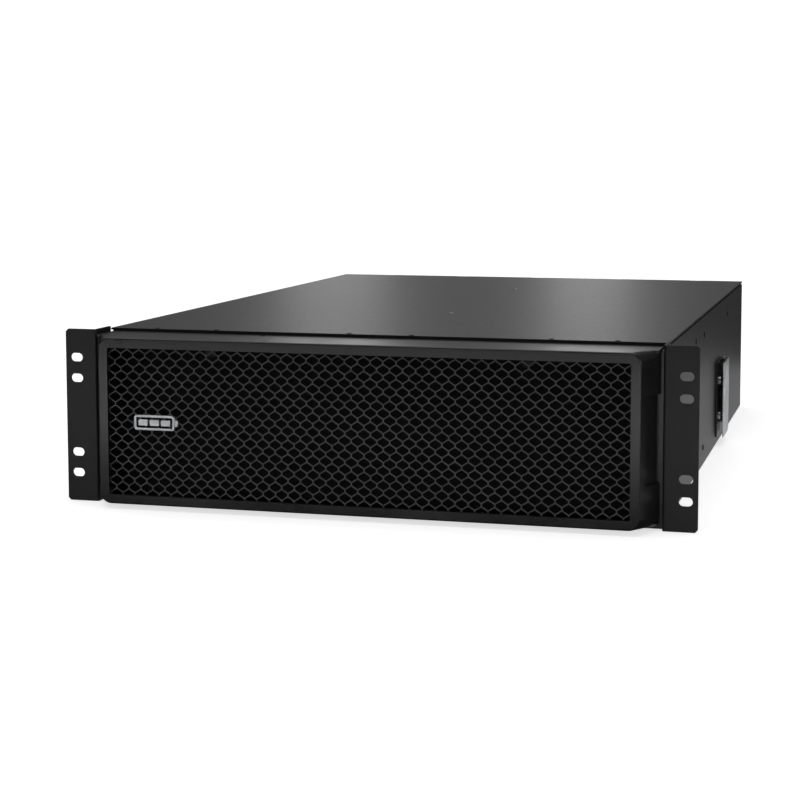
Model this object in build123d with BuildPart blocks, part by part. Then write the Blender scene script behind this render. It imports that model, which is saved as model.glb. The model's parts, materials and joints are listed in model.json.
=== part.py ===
"""Three-unit 19 inch rack battery: steel chassis, two slide-out cartridges, door and mesh bezel.

Millimetres, +Z up. The front faces -Y and +X is to the right of somebody facing it. The origin is
at the centre of the overall box in plan, on the lower edges of the rack ears.
"""
from build123d import *
import os

os.makedirs("parts", exist_ok=True)

# Rack interface
RACK_WIDTH = 482.6
RACK_HEIGHT = 132.5
RACK_UNIT = 44.45
SLOT_SPAN = 465.1
SLOT_LENGTH = 10.0
SLOT_HEIGHT = 6.6
EAR_SHEET = 2.0
EAR_FLANGE = 26.5

# Chassis
CHASSIS_WIDTH = 432.0
CHASSIS_HEIGHT = 130.0
CHASSIS_DEPTH = 637.0
SHEET = 1.5
COVER_FRONT = 27.0
WALL_GAP = 1.4
REAR_HARDWARE = 9.5
BULKHEAD = 588.0
PANEL_INSET = 3.0

# Bezel
BEZEL_PROUD = 23.5
BEZEL_HALF_FRONT = 203.45
BEZEL_HALF_BACK = 213.9
BEZEL_LOW = 3.8
BEZEL_HIGH = 129.1
BEZEL_WALL = 2.5
BEZEL_LIP = 3.0
BEZEL_BACK = -0.5
WINDOW_WIDTH = 393.0
WINDOW_HEIGHT = 110.6
GRIP_LOW = 35.0
GRIP_HIGH = 98.0
GRIP_FRONT = -17.0
GRIP_FLOOR = 201.3

# Hexagon mesh
CELL_PITCH = 9.7
ROW_PITCH = 5.26
CELL_COLUMNS = 40
CELL_ROWS = 20
CELL_HALF_WIDTH = 4.25
CELL_SIDE = 0.83
CELL_TIP = 3.51
MESH_SHEET = 1.2

# Cartridges
TRAY_SHEET = 1.2
TRAY_INNER = 8.0
TRAY_OUTER = 197.5
TRAY_BOTTOM = 4.6
TRAY_TOP = 111.0
TRAY_FRONT = 4.0
BLOCK_WIDTH = 90.0
BLOCK_LENGTH = 70.0
BLOCK_HEIGHT = 100.0
BLOCK_ROWS = 8
BLOCK_GAP = 0.5
FIRST_BLOCK = 14.6
PLUG_X = 100.0
PLUG_Z = 60.0

# Fits
RUNNING = 0.06
MOVING_GAP = 0.3

# Derived levels
TOTAL_DEPTH = BEZEL_PROUD + CHASSIS_DEPTH + REAR_HARDWARE
EAR_FACE = BEZEL_PROUD - TOTAL_DEPTH / 2
BASE = (RACK_HEIGHT - CHASSIS_HEIGHT) / 2
TOP = BASE + CHASSIS_HEIGHT
FLOOR = BASE + SHEET
CEILING = TOP - SHEET
MIDDLE = RACK_HEIGHT / 2
HALF = CHASSIS_WIDTH / 2
INSIDE = HALF - SHEET
RAIL_TOP = BEZEL_HIGH - 1.8
BLOCK_Z = TRAY_BOTTOM + TRAY_SHEET
BLOCK_TOP = BLOCK_Z + BLOCK_HEIGHT
TRAY_REAR = FIRST_BLOCK + BLOCK_ROWS * (BLOCK_LENGTH + BLOCK_GAP) + 0.4
SIDES = (("left", -1), ("right", 1))


def back(distance):
    """World Y of a place that far behind the front face of the rack ears."""
    return EAR_FACE + distance


def facing_front(distance):
    """Plane parallel to the front: local x is X, local y is Z, extrusions come forward."""
    return Plane(origin=(0, back(distance), 0), x_dir=(1, 0, 0), z_dir=(0, -1, 0))


def facing_right(x):
    """Plane parallel to the side walls: local x is Y, local y is Z, extrusions go to +X."""
    return Plane(origin=(x, 0, 0), x_dir=(0, 1, 0), z_dir=(1, 0, 0))


def block(x, y, z, mode=Mode.ADD):
    """Box between pairs of limits. Y limits are distances behind the ear face."""
    low_x, high_x = sorted(x)
    with Locations(((low_x + high_x) / 2, back((y[0] + y[1]) / 2), (z[0] + z[1]) / 2)):
        Box(high_x - low_x, y[1] - y[0], z[1] - z[0], mode=mode)


def rod(start, direction, radius, length, mode=Mode.ADD):
    """Round bar from a start point. The start's Y is a distance behind the ear face."""
    axis = Plane(origin=(start[0], back(start[1]), start[2]), z_dir=direction)
    with Locations(axis):
        Cylinder(radius, length, align=(Align.CENTER, Align.CENTER, Align.MIN), mode=mode)


def pan_head_screw(start, direction, radius, length, head_radius, head_height):
    """Screw whose shank runs from start along direction, with its head behind start."""
    rod(start, direction, radius, length)
    reverse = tuple(-c for c in direction)
    rod(start, reverse, head_radius, head_height)
    recess = tuple(s + r * head_height for s, r in zip(start, reverse))
    rod(recess, direction, head_radius * 0.35, head_height * 0.55, Mode.SUBTRACT)


def save(builder, node):
    """Label a finished piece and write its STEP file."""
    builder.part.label = node
    export_step(builder.part, f"parts/{node}.step")


# ---------------------------------------------------------------- chassis

EAR_SCREW_HEIGHTS = (20, 50, 82.5, 112.5)
EAR_SCREW_BACK = 15.0
SIDE_RIVETS = ((206, 113.5), (270, 112.5), (270, 16), (475, 112))
SIDE_BRACKET_HOLES = ((392, 26), (392, 58))

with BuildPart() as base_pan:
    with BuildSketch(facing_front(CHASSIS_DEPTH)):
        with BuildLine():
            Polyline(
                (-HALF, BASE),
                (HALF, BASE),
                (HALF, CEILING - WALL_GAP),
                (INSIDE, CEILING - WALL_GAP),
                (INSIDE, FLOOR),
                (-INSIDE, FLOOR),
                (-INSIDE, CEILING - WALL_GAP),
                (-HALF, CEILING - WALL_GAP),
                close=True,
            )
        make_face()
    extrude(amount=CHASSIS_DEPTH - 2.1)
    for _, side in SIDES:
        outward = (side, 0, 0)
        for height in EAR_SCREW_HEIGHTS:
            rod((side * (INSIDE - 1), EAR_SCREW_BACK, height), outward, 2.0, 4, Mode.SUBTRACT)
        for depth, height in SIDE_RIVETS:
            rod((side * (INSIDE - 1), depth, height), outward, 1.6, 4, Mode.SUBTRACT)
        for depth, height in SIDE_BRACKET_HOLES:
            rod((side * (INSIDE - 1), depth, height), outward, 2.0, 4, Mode.SUBTRACT)
save(base_pan, "base_pan")

PANEL_TABS = (-168, -84, 0, 84, 168)
COVER_RIVETS = [group + offset for group in (-154.5, 0, 154.5) for offset in (-24.25, 24.25)]
COVER_RIVET_BACK = 31.0
COVER_SCREWS = ((10.5, 207), (10.5, 469))

with BuildPart() as top_cover:
    block((-HALF, HALF), (COVER_FRONT, CHASSIS_DEPTH), (CEILING, TOP))
    for _, side in SIDES:
        flange = (side * (INSIDE - 1.6), side * (INSIDE - 0.1))
        block(flange, (42, CHASSIS_DEPTH - 5), (108, CEILING))
        for depth, height in SIDE_RIVETS:
            if height > 108:
                rod((side * (INSIDE - 3), depth, height), (side, 0, 0), 1.6, 6, Mode.SUBTRACT)
    for x in PANEL_TABS:
        notch = (CHASSIS_DEPTH - PANEL_INSET - 0.3, CHASSIS_DEPTH + 1)
        block((x - 6.3, x + 6.3), notch, (CEILING - 1, TOP + 1), Mode.SUBTRACT)
    for x in COVER_RIVETS:
        rod((x, COVER_RIVET_BACK, CEILING - 1), (0, 0, 1), 1.5, 4, Mode.SUBTRACT)
    for x, depth in COVER_SCREWS:
        rod((x, depth, CEILING - 1), (0, 0, 1), 1.6, 4, Mode.SUBTRACT)
save(top_cover, "top_cover")

FRAME_BACK = 3.6
FRAME_FRONT = 2.1
OPENING_HALF = 203.0
OPENING_TOP = 115.0
STUD_X = 206.4
STUD_HEIGHTS = (18.0, 112.0)
THUMB_X = 120.0
THUMB_Z = 119.2

with BuildPart() as front_frame:
    block((-INSIDE, INSIDE), (FRAME_FRONT, FRAME_BACK), (OPENING_TOP, RAIL_TOP - MOVING_GAP))
    block((-INSIDE, INSIDE), (FRAME_FRONT, 28.8), (RAIL_TOP - MOVING_GAP - SHEET, RAIL_TOP - MOVING_GAP))
    block((-INSIDE, INSIDE), (27.3, 28.8), (RAIL_TOP - MOVING_GAP - SHEET, CEILING))
    block((-INSIDE, INSIDE), (27.3, 40), (CEILING - SHEET, CEILING))
    for _, side in SIDES:
        stile = (side * OPENING_HALF, side * INSIDE)
        block(stile, (FRAME_FRONT, FRAME_BACK), (FLOOR, OPENING_TOP))
        for height in STUD_HEIGHTS:
            rod((side * STUD_X, 0, height), (0, 1, 0), 1.5, 8, Mode.SUBTRACT)
        rod((side * THUMB_X, 0, THUMB_Z), (0, 1, 0), 2.0 + RUNNING, 8, Mode.SUBTRACT)
    for x in COVER_RIVETS:
        rod((x, COVER_RIVET_BACK, CEILING - 3), (0, 0, 1), 1.5, 6, Mode.SUBTRACT)
save(front_frame, "front_frame")

with BuildPart() as bezel_studs:
    for _, side in SIDES:
        for height in STUD_HEIGHTS:
            start = (side * STUD_X, FRAME_FRONT, height)
            rod(start, (0, -1, 0), 1.6, 5.0)
            rod(start, (0, -1, 0), 2.6, 0.8)
            rod(start, (0, 1, 0), 1.5, FRAME_BACK - FRAME_FRONT)
            rod((side * STUD_X, FRAME_BACK, height), (0, 1, 0), 2.6, 0.8)
            tip = Plane(origin=(side * STUD_X, back(-3.9), height), z_dir=(0, -1, 0))
            with Locations(tip):
                Sphere(2.5)
save(bezel_studs, "bezel_studs")

with BuildPart() as chassis_rivets:
    for x in COVER_RIVETS:
        rod((x, COVER_RIVET_BACK, CEILING - SHEET - 1), (0, 0, 1), 1.5, SHEET * 2 + 1)
        rod((x, COVER_RIVET_BACK, TOP), (0, 0, 1), 2.0, 0.4)
    for _, side in SIDES:
        for depth, height in SIDE_RIVETS:
            rod((side * (INSIDE - 2.4), depth, height), (side, 0, 0), 1.6, SHEET + 2.4)
            rod((side * HALF, depth, height), (side, 0, 0), 2.4, 0.7)
save(chassis_rivets, "chassis_rivets")

DIVIDER_START = 6.0

with BuildPart() as centre_divider:
    block((-0.75, 0.75), (DIVIDER_START, BULKHEAD), (FLOOR, RAIL_TOP - MOVING_GAP - SHEET))
    block((-0.75, 0.75), (40, BULKHEAD), (FLOOR, CEILING))
    block((0.75, 4.5), (DIVIDER_START, BULKHEAD), (FLOOR, FLOOR + SHEET))
    block((0.75, 18), (42, BULKHEAD), (CEILING - SHEET, CEILING))
    for x, depth in COVER_SCREWS:
        rod((x, depth, CEILING - 3), (0, 0, 1), 1.6, 6, Mode.SUBTRACT)
save(centre_divider, "centre_divider")

SOCKET_HALF_WIDTH = 25.0
SOCKET_HALF_HEIGHT = 16.0

with BuildPart() as bay_bulkhead:
    block((-INSIDE + 1.7, INSIDE - 1.7), (BULKHEAD, BULKHEAD + SHEET), (FLOOR, CEILING))
    block((-INSIDE + 1.7, INSIDE - 1.7), (BULKHEAD + SHEET, BULKHEAD + 7), (FLOOR, FLOOR + SHEET))
    for _, side in SIDES:
        width = (side * PLUG_X - SOCKET_HALF_WIDTH, side * PLUG_X + SOCKET_HALF_WIDTH)
        height = (PLUG_Z - SOCKET_HALF_HEIGHT, PLUG_Z + SOCKET_HALF_HEIGHT)
        block(width, (BULKHEAD - 1, BULKHEAD + 3), height, Mode.SUBTRACT)
    for x in range(-180, 181, 24):
        for height in (100, 112):
            slot = (x - 8, x + 8)
            block(slot, (BULKHEAD - 1, BULKHEAD + 3), (height - 2.5, height + 2.5), Mode.SUBTRACT)
save(bay_bulkhead, "bay_bulkhead")

with BuildPart() as bay_guides:
    for _, side in SIDES:
        for wall, foot in (((5.0, 7.0), (7.0, 22.0)), ((198.5, 200.5), (183.0, 198.5))):
            block([side * x for x in wall], (8, 580), (FLOOR, 12))
            block([side * x for x in foot], (8, 580), (FLOOR, FLOOR + SHEET))
save(bay_guides, "bay_guides")

for name, side in SIDES:
    with BuildPart() as rack_ear:
        with BuildSketch(Plane.XY):
            with BuildLine():
                Polyline(
                    (side * HALF, back(0)),
                    (side * RACK_WIDTH / 2, back(0)),
                    (side * RACK_WIDTH / 2, back(EAR_SHEET)),
                    (side * (HALF + EAR_SHEET), back(EAR_SHEET)),
                    (side * (HALF + EAR_SHEET), back(EAR_FLANGE)),
                    (side * HALF, back(EAR_FLANGE)),
                    close=True,
                )
            make_face()
        extrude(amount=RACK_HEIGHT)
        vertical = rack_ear.edges().filter_by(Axis.Z)
        fillet(vertical.sort_by_distance((side * HALF, back(0), MIDDLE))[0], 1.9)
        corners = rack_ear.edges().filter_by(Axis.Y).group_by(Axis.X)[-1 if side > 0 else 0]
        chamfer(corners.filter_by(lambda e: e.length < EAR_SHEET + 1), 2.0)
        for unit in (-1, 1):
            for inset in (RACK_UNIT, RACK_UNIT * 9 / 14):
                place = (side * SLOT_SPAN / 2, MIDDLE + unit * inset)
                with BuildSketch(facing_front(EAR_SHEET + 1)):
                    with Locations(place):
                        SlotOverall(SLOT_LENGTH, SLOT_HEIGHT)
                extrude(amount=EAR_SHEET + 2, mode=Mode.SUBTRACT)
        for height in EAR_SCREW_HEIGHTS:
            start = (side * (HALF - 1), EAR_SCREW_BACK, height)
            rod(start, (side, 0, 0), 2.0, 5, Mode.SUBTRACT)
    save(rack_ear, f"rack_ear_{name}")

BRACKET_FRONT = 376.0
BRACKET_REAR = 427.0
BRACKET_LOW = 8.0
BRACKET_HIGH = 76.0
BRACKET_OUT = 7.2
BRACKET_SHEET = 1.2
BRACKET_CHAMFER = 8.0

for name, side in SIDES:
    with BuildPart() as side_bracket:
        bend = BRACKET_OUT / 2
        start = back(BRACKET_FRONT)
        straight = back(BRACKET_REAR) - bend
        outer = (side * HALF, side * (HALF + bend), side * (HALF + BRACKET_OUT))
        inner = (outer[0] + side * BRACKET_SHEET, outer[1], outer[2] - side * BRACKET_SHEET)
        tip = back(BRACKET_REAR)
        with BuildSketch(Plane.XY.offset(BRACKET_LOW)):
            with BuildLine():
                Line((outer[0], start), (outer[0], straight))
                ThreePointArc((outer[0], straight), (outer[1], tip), (outer[2], straight))
                Line((outer[2], straight), (outer[2], start))
                Line((outer[2], start), (inner[2], start))
                Line((inner[2], start), (inner[2], straight))
                ThreePointArc((inner[2], straight), (inner[1], tip - BRACKET_SHEET), (inner[0], straight))
                Line((inner[0], straight), (inner[0], start))
                Line((inner[0], start), (outer[0], start))
            make_face()
        extrude(amount=BRACKET_HIGH - BRACKET_LOW)
        with BuildSketch(facing_right(side * HALF - 20)):
            with BuildLine():
                Polyline(
                    (back(BRACKET_REAR) - BRACKET_CHAMFER, BRACKET_LOW),
                    (back(BRACKET_REAR) + 1, BRACKET_LOW - 1),
                    (back(BRACKET_REAR), BRACKET_LOW + BRACKET_CHAMFER),
                    close=True,
                )
            make_face()
        extrude(amount=40, mode=Mode.SUBTRACT)
        for depth, height in SIDE_BRACKET_HOLES:
            rod((side * (HALF - 1), depth, height), (side, 0, 0), 2.0, 3, Mode.SUBTRACT)
    save(side_bracket, f"side_bracket_{name}")

with BuildPart() as chassis_screws:
    for x, depth in COVER_SCREWS:
        pan_head_screw((x, depth, TOP), (0, 0, -1), 1.6, 7, 2.1, 0.6)
    for _, side in SIDES:
        for height in EAR_SCREW_HEIGHTS:
            start = (side * (HALF + EAR_SHEET), EAR_SCREW_BACK, height)
            pan_head_screw(start, (-side, 0, 0), 2.0, 7, 3.6, 2.0)
        for depth, height in SIDE_BRACKET_HOLES:
            start = (side * (HALF + BRACKET_SHEET), depth, height)
            pan_head_screw(start, (-side, 0, 0), 2.0, 5.5, 3.5, 1.6)
save(chassis_screws, "chassis_screws")

# ---------------------------------------------------------------- rear panel and electronics

PANEL_FRONT = CHASSIS_DEPTH - PANEL_INSET
PANEL_BACK = PANEL_FRONT + SHEET
DC_X = (92.0, 164.0)
DC_Z = 44.0
BREAKER_X = 34.0
BREAKER_Z = 46.0
COMM_X = (-74.0, -54.0)
COMM_Z = 34.0
GROUND = (-192.0, 22.0)

with BuildPart() as rear_panel:
    block((-INSIDE + 0.2, INSIDE - 0.2), (PANEL_FRONT, PANEL_BACK), (FLOOR, CEILING))
    for x in PANEL_TABS:
        block((x - 6, x + 6), (PANEL_FRONT, PANEL_BACK), (CEILING, TOP))
    cut = (PANEL_FRONT - 1, PANEL_BACK + 1)
    for x in DC_X:
        block((x - 24, x + 24), cut, (DC_Z - 14, DC_Z + 14), Mode.SUBTRACT)
        for offset in (-29, 29):
            rod((x + offset, PANEL_FRONT - 1, DC_Z), (0, 1, 0), 1.5, 4, Mode.SUBTRACT)
    block((BREAKER_X - 13, BREAKER_X + 13), cut, (BREAKER_Z - 23, BREAKER_Z + 23), Mode.SUBTRACT)
    for x in COMM_X:
        block((x - 8, x + 8), cut, (COMM_Z - 7, COMM_Z + 7), Mode.SUBTRACT)
    rod((GROUND[0], PANEL_FRONT - 1, GROUND[1]), (0, 1, 0), 3.0, 4, Mode.SUBTRACT)
    for x in range(-196, 197, 14):
        block((x - 2, x + 2), cut, (86, 116), Mode.SUBTRACT)
save(rear_panel, "rear_panel")

DC_BODY_FRONT = PANEL_FRONT - 12
DC_TAIL = DC_BODY_FRONT - 3
CONTACT_HALF = 5.0
CONTACT_THICK = 3.0
DC_CONTACTS = (-11.0, 11.0)
BLADE_Z = (DC_Z - CONTACT_THICK / 2, DC_Z + CONTACT_THICK / 2)

with BuildPart() as dc_sockets:
    for x in DC_X:
        block((x - 24, x + 24), (DC_BODY_FRONT, PANEL_BACK), (DC_Z - 14, DC_Z + 14))
        block((x - 34, x + 34), (PANEL_BACK, PANEL_BACK + 3), (DC_Z - 17, DC_Z + 17))
        block((x - 26, x + 26), (PANEL_BACK + 3, PANEL_BACK + 8), (DC_Z - 15, DC_Z + 15))
        cavity = (DC_BODY_FRONT + 3, PANEL_BACK + 9)
        block((x - 21, x + 21), cavity, (DC_Z - 10, DC_Z + 10), Mode.SUBTRACT)
        for offset in (-29, 29):
            rod((x + offset, PANEL_BACK - 1, DC_Z), (0, 1, 0), 1.5, 5, Mode.SUBTRACT)
        for offset in DC_CONTACTS:
            slot = (x + offset - CONTACT_HALF, x + offset + CONTACT_HALF)
            block(slot, (DC_BODY_FRONT - 1, DC_BODY_FRONT + 4), BLADE_Z, Mode.SUBTRACT)
save(dc_sockets, "dc_sockets")

with BuildPart() as dc_links:
    for offset, toward in zip(DC_CONTACTS, (1, -1)):
        tail_face = DC_Z + toward * CONTACT_THICK / 2
        bar_face = tail_face + toward * 2.5
        ends = [x + offset for x in DC_X]
        for x in ends:
            post = sorted((tail_face, bar_face))
            block((x - 4, x + 4), (DC_TAIL, DC_BODY_FRONT), post)
        bar = sorted((bar_face, bar_face + toward * 1.5))
        block((ends[0] - 4, ends[1] + 4), (DC_TAIL, DC_BODY_FRONT), bar)
save(dc_links, "dc_links")

with BuildPart() as socket_screws:
    for x in DC_X:
        for offset in (-29, 29):
            start = (x + offset, PANEL_BACK + 3, DC_Z)
            pan_head_screw(start, (0, -1, 0), 1.5, 8, 2.8, 1.8)
save(socket_screws, "socket_screws")

TOGGLE_AXIS = PANEL_BACK
TOGGLE_LENGTH = 8.0

BREAKER_FRONT = PANEL_FRONT - 30
BREAKER_HALF = (12.5, 22.0)
TOGGLE_BORE = BREAKER_HALF[0] - 3.5

with BuildPart() as breaker_body:
    width = (BREAKER_X - BREAKER_HALF[0], BREAKER_X + BREAKER_HALF[0])
    height = (BREAKER_Z - BREAKER_HALF[1], BREAKER_Z + BREAKER_HALF[1])
    block(width, (BREAKER_FRONT, PANEL_BACK + 3), height)
    rim = (BREAKER_X - 15, BREAKER_X + 15)
    block(rim, (PANEL_BACK, PANEL_BACK + 2), (BREAKER_Z - 25, BREAKER_Z + 25))
    pocket = (BREAKER_X - 6, BREAKER_X + 6)
    block(pocket, (PANEL_BACK - 8, PANEL_BACK + 4), (BREAKER_Z - 13, BREAKER_Z + 13), Mode.SUBTRACT)
    bore = (BREAKER_X - TOGGLE_BORE, TOGGLE_AXIS, BREAKER_Z)
    rod(bore, (1, 0, 0), 1.5 + RUNNING, TOGGLE_BORE * 2, Mode.SUBTRACT)
save(breaker_body, "breaker_body")

with BuildPart() as breaker_toggle:
    axle = (BREAKER_X - TOGGLE_BORE + 1, TOGGLE_AXIS, BREAKER_Z)
    rod(axle, (1, 0, 0), 1.5, TOGGLE_BORE * 2 - 2)
    hub = (BREAKER_X - 5.5, TOGGLE_AXIS, BREAKER_Z)
    rod(hub, (1, 0, 0), 5.0, 11)
    with BuildSketch(facing_right(BREAKER_X - 4.5)):
        with BuildLine():
            Polyline(
                (back(TOGGLE_AXIS), BREAKER_Z - 1),
                (back(TOGGLE_AXIS) + TOGGLE_LENGTH - 1, BREAKER_Z + 5.5),
                (back(TOGGLE_AXIS) + TOGGLE_LENGTH - 2, BREAKER_Z + 9.5),
                (back(TOGGLE_AXIS), BREAKER_Z + 4),
                close=True,
            )
        make_face()
    extrude(amount=9)
save(breaker_toggle, "breaker_toggle")

with BuildPart() as comm_ports:
    for x in COMM_X:
        block((x - 7.9, x + 7.9), (PANEL_FRONT - 15, PANEL_BACK + 0.8), (COMM_Z - 6.9, COMM_Z + 6.9))
        mouth = (PANEL_FRONT - 12, PANEL_BACK + 2)
        block((x - 5.9, x + 5.9), mouth, (COMM_Z - 4.6, COMM_Z + 3.4), Mode.SUBTRACT)
        block((x - 3, x + 3), mouth, (COMM_Z - 5.8, COMM_Z - 4), Mode.SUBTRACT)
save(comm_ports, "comm_ports")

with BuildPart() as ground_stud:
    rod((GROUND[0], PANEL_FRONT - 6, GROUND[1]), (0, 1, 0), 3.0, REAR_HARDWARE + PANEL_INSET + 6)
save(ground_stud, "ground_stud")

with BuildPart() as ground_nuts:
    for depth in (PANEL_FRONT - 3.2, PANEL_BACK + 0.8):
        with BuildSketch(facing_front(depth + 3.2)):
            with Locations(GROUND):
                RegularPolygon(5.5, 6)
        extrude(amount=3.2)
    rod((GROUND[0], PANEL_BACK, GROUND[1]), (0, 1, 0), 6.6, 0.8)
    rod((GROUND[0], PANEL_FRONT - 4, GROUND[1]), (0, 1, 0), 3.0, 12, Mode.SUBTRACT)
save(ground_nuts, "ground_nuts")

BOARD_X = (-176.0, -40.0)
BOARD_Y = (596.0, 617.0)
BOARD_Z = 14.0
BOARD_THICK = 1.6
BOARD_FACE = BOARD_Z + BOARD_THICK
BOARD_HOLES = [(x, y) for x in (-171.0, -45.0) for y in (600.0, 613.0)]

with BuildPart() as monitor_board:
    block(BOARD_X, BOARD_Y, (BOARD_Z, BOARD_FACE))
    for x, depth in BOARD_HOLES:
        rod((x, depth, BOARD_Z - 1), (0, 0, 1), 1.5, 4, Mode.SUBTRACT)
save(monitor_board, "monitor_board")

with BuildPart() as board_standoffs:
    for x, depth in BOARD_HOLES:
        rod((x, depth, FLOOR), (0, 0, 1), 3.0, BOARD_Z - FLOOR)
        rod((x, depth, BOARD_Z), (0, 0, 1), 1.5, BOARD_THICK + 1.5)
save(board_standoffs, "board_standoffs")

CONNECTOR_X = (-72.0, -50.0)
CONNECTOR_TOP = BOARD_FACE + 8

with BuildPart() as board_parts:
    for x in (-160, -142):
        block((x - 7, x + 7), (599, 614), (BOARD_FACE, BOARD_FACE + 14))
    for x in (-124, -112, -100):
        rod((x, 606, BOARD_FACE), (0, 0, 1), 4.5, 16)
    block((-92, -78), (600, 614), (BOARD_FACE, BOARD_FACE + 2.2))
    block(CONNECTOR_X, (599, 606), (BOARD_FACE, CONNECTOR_TOP))
save(board_parts, "board_parts")

FUSE_X = (-28.0, 10.0)
FUSE_RADIUS = 5.0
FUSE_Z = 32.0
FUSE_BACK = 610.0
FUSE_BASE = (FUSE_BACK - 6, FUSE_BACK + 6)

with BuildPart() as fuse_holder:
    block(FUSE_X, FUSE_BASE, (FLOOR, 14))
    for x in (FUSE_X[0] + 3, FUSE_X[1] - 3):
        block((x - 3, x + 3), FUSE_BASE, (14, FUSE_Z + 2))
    rod((FUSE_X[0] - 1, FUSE_BACK, FUSE_Z), (1, 0, 0), FUSE_RADIUS, 40, Mode.SUBTRACT)
save(fuse_holder, "fuse_holder")

with BuildPart() as main_fuse:
    rod((FUSE_X[0] - 1, FUSE_BACK, FUSE_Z), (1, 0, 0), FUSE_RADIUS, FUSE_X[1] - FUSE_X[0] + 2)
save(main_fuse, "main_fuse")

CAVITY_END = BULKHEAD + 8
SOCKET_BACK = BULKHEAD + 11
LUG = BULKHEAD + 13
PLUG_CONTACTS = (-10.0, 10.0)
BLADE_HALF = 4.0

with BuildPart() as bay_sockets:
    for _, side in SIDES:
        x = side * PLUG_X
        outer = (x - SOCKET_HALF_WIDTH, x + SOCKET_HALF_WIDTH)
        height = (PLUG_Z - SOCKET_HALF_HEIGHT, PLUG_Z + SOCKET_HALF_HEIGHT)
        block(outer, (BULKHEAD - 0.8, SOCKET_BACK), height)
        flange = (outer[0] - 5, outer[1] + 5)
        block(flange, (BULKHEAD + SHEET, BULKHEAD + 4), (height[0] - 4, height[1] + 4))
        mouth = (x - 20.5, x + 20.5)
        block(mouth, (BULKHEAD - 2, CAVITY_END), (PLUG_Z - 11.5, PLUG_Z + 11.5), Mode.SUBTRACT)
        for offset in PLUG_CONTACTS:
            slot = (x + offset - BLADE_HALF, x + offset + BLADE_HALF)
            block(slot, (CAVITY_END - 1, SOCKET_BACK + 1), (PLUG_Z - 1.5, PLUG_Z + 1.5), Mode.SUBTRACT)
save(bay_sockets, "bay_sockets")

with BuildPart() as power_contacts:
    for _, side in SIDES:
        for offset in PLUG_CONTACTS:
            x = side * PLUG_X + offset
            block((x - BLADE_HALF, x + BLADE_HALF), (BULKHEAD + 2, LUG), (PLUG_Z - 1.5, PLUG_Z + 1.5))
    for x in DC_X:
        for offset in DC_CONTACTS:
            blade = (x + offset - CONTACT_HALF, x + offset + CONTACT_HALF)
            block(blade, (DC_TAIL, PANEL_BACK + 2), BLADE_Z)
save(power_contacts, "power_contacts")


def wire(points, corner_radii, radius):
    """Insulated wire along straight runs joined by tangent arcs. Y is behind the ear face."""
    route = [Vector(x, back(depth), z) for x, depth, z in points]
    with BuildLine() as path:
        FilletPolyline(*route, radius=corner_radii)
    with BuildSketch(Plane(origin=route[0], z_dir=route[1] - route[0])) as section:
        Circle(radius)
    sweep(sections=section.sketch, path=path.wire())


WIRE_RADIUS = 1.8
WIRE_BACK = 610.0
BREAKER_SIDE = BREAKER_X + BREAKER_HALF[0]
LINK_HEIGHT = 82.0

with BuildPart() as positive_wires:
    wire(
        (
            (-PLUG_X + 10, LUG, PLUG_Z),
            (-PLUG_X + 10, WIRE_BACK, PLUG_Z),
            (-42, WIRE_BACK, PLUG_Z),
            (-42, WIRE_BACK, FUSE_Z),
            (FUSE_X[0] - 1, WIRE_BACK, FUSE_Z),
        ),
        (4, 8, 5),
        WIRE_RADIUS,
    )
    rod((FUSE_X[1] + 1, WIRE_BACK, FUSE_Z), (1, 0, 0), WIRE_RADIUS, 10.5)
    wire(
        (
            (BREAKER_SIDE, WIRE_BACK, 56),
            (62, WIRE_BACK, 56),
            (66, WIRE_BACK, DC_Z),
            (DC_X[0] - 11, WIRE_BACK, DC_Z),
            (DC_X[0] - 11, DC_TAIL, DC_Z),
        ),
        (4, 4, 4),
        WIRE_RADIUS,
    )
save(positive_wires, "positive_wires")

with BuildPart() as negative_wires:
    wire(
        (
            (DC_X[0] + 11, DC_TAIL, DC_Z),
            (DC_X[0] + 11, WIRE_BACK, DC_Z),
            (PLUG_X + 10, WIRE_BACK, PLUG_Z),
            (PLUG_X + 10, LUG, PLUG_Z),
        ),
        (4, 4),
        WIRE_RADIUS,
    )
    wire(
        (
            (-PLUG_X - 10, LUG, PLUG_Z),
            (-PLUG_X - 10, WIRE_BACK, PLUG_Z),
            (-PLUG_X - 10, WIRE_BACK, LINK_HEIGHT),
            (PLUG_X - 10, WIRE_BACK, LINK_HEIGHT),
            (PLUG_X - 10, WIRE_BACK, PLUG_Z),
            (PLUG_X - 10, LUG, PLUG_Z),
        ),
        (4, 8, 8, 4),
        WIRE_RADIUS,
    )
save(negative_wires, "negative_wires")

with BuildPart() as signal_wires:
    for x, start in zip(COMM_X, (-66.0, -54.0)):
        wire(
            (
                (start, 602.5, CONNECTOR_TOP),
                (start, 602.5, COMM_Z + 2),
                (x, PANEL_FRONT - 15.6, COMM_Z + 2),
            ),
            (4,),
            1.2,
        )
save(signal_wires, "signal_wires")

# ---------------------------------------------------------------- cartridges

BLOCK_COLUMNS = (56.2, 149.3)
TERMINAL_X = 33.0
TERMINAL_Y = -24.0
PAD = 4.5
PAD_TOP = BLOCK_TOP + 2.2
LINK_TOP = PAD_TOP + 1.2
PULL_HALF = (43.5, 17.5)
PULL_Z = 62.0
PULL_FACE = TRAY_FRONT - 1.2
PULL_SCREW = 48.5
LEAD_RADIUS = 1.6
LEAD_Z = BLOCK_TOP + LEAD_RADIUS + 0.1
LEAD_BACK = TRAY_REAR + TRAY_SHEET + 3.8
PLUG_BASE = (TRAY_REAR + TRAY_SHEET, BULKHEAD - 1.5)
NOSE_END = CAVITY_END - 0.5


def row_centre(row):
    """Distance behind the ear face of the middle of a row of battery blocks."""
    return FIRST_BLOCK + BLOCK_LENGTH / 2 + row * (BLOCK_LENGTH + BLOCK_GAP)


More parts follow.
